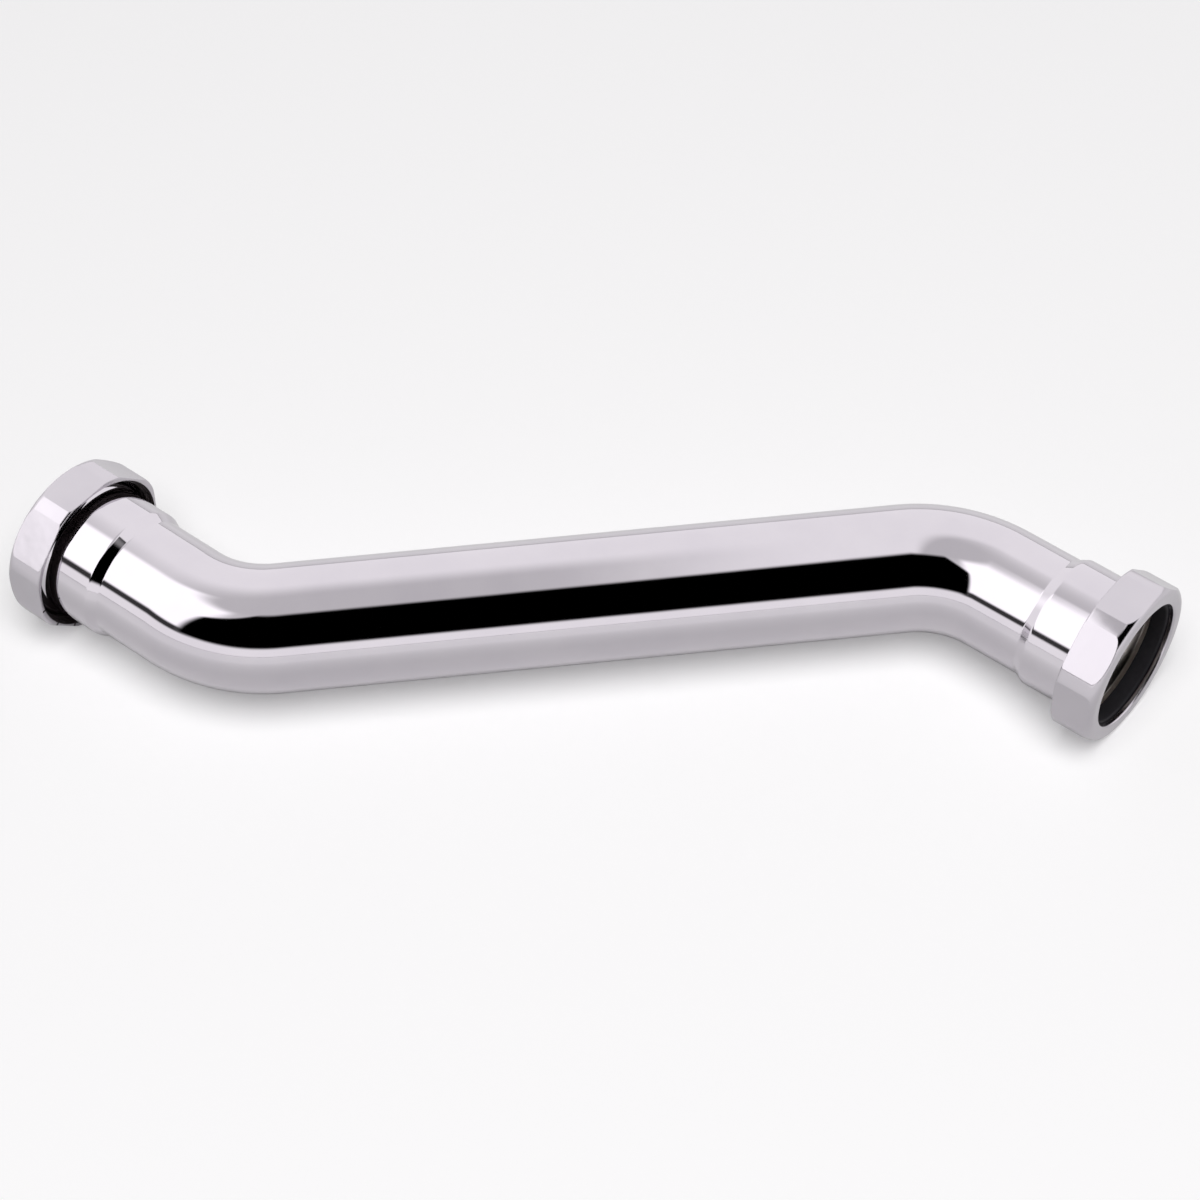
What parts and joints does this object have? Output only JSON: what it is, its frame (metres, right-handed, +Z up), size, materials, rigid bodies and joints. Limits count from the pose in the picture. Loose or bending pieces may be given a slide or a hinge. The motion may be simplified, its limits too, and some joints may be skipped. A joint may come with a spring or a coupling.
{
  "type": "double offset drain pipe",
  "caption": "Chromed tubular drain pipe with two opposite bends that keep both ends parallel, and a threaded bell with slip nut and rubber washer at each end.",
  "frame": {"origin": "on the ground under the middle of the pipe's box, with the pipe lying flat", "axes": "+X out of the outlet along its axis, the inlet points along -X, both bends lie in a plane parallel to XY, +Z up"},
  "size_m": [0.28, 0.2018, 0.0494],
  "materials": {
    "chrome_tube": "polished chrome plate on brass, raw brass inside",
    "chrome_nut": "chrome plate on brass",
    "black_rubber": "matt black moulded rubber"
  },
  "bodies": {
    "tube": {"offset_tube": "chrome_tube"},
    "inlet_washer": {"inlet_washer": "black_rubber"},
    "inlet_nut": {"inlet_slip_nut": "chrome_nut"},
    "outlet_washer": {"outlet_washer": "black_rubber"},
    "outlet_nut": {"outlet_slip_nut": "chrome_nut"}
  },
  "joints": [
    {"name": "inlet_washer_slide", "type": "slide", "parent": "tube", "child": "inlet_washer", "axis": [-1, 0, 0], "range_m": [0, 0.00442]},
    {"name": "inlet_nut_turn", "type": "hinge", "parent": "inlet_washer", "child": "inlet_nut", "pos_m": [-0.13588, -0.0762, 0.0247], "axis": [-1, 0, 0], "range_deg": [0, 720]},
    {"name": "outlet_washer_slide", "type": "slide", "parent": "tube", "child": "outlet_washer", "axis": [1, 0, 0], "range_m": [0, 0.00442]},
    {"name": "outlet_nut_turn", "type": "hinge", "parent": "outlet_washer", "child": "outlet_nut", "pos_m": [0.13588, 0.0762, 0.0247], "axis": [1, 0, 0], "range_deg": [0, 720]}
  ],
  "couplings": [
    {"joint": "inlet_washer_slide", "follows": "inlet_nut_turn", "m_per_rad": 0.00035152},
    {"joint": "outlet_washer_slide", "follows": "outlet_nut_turn", "m_per_rad": 0.00035152}
  ]
}
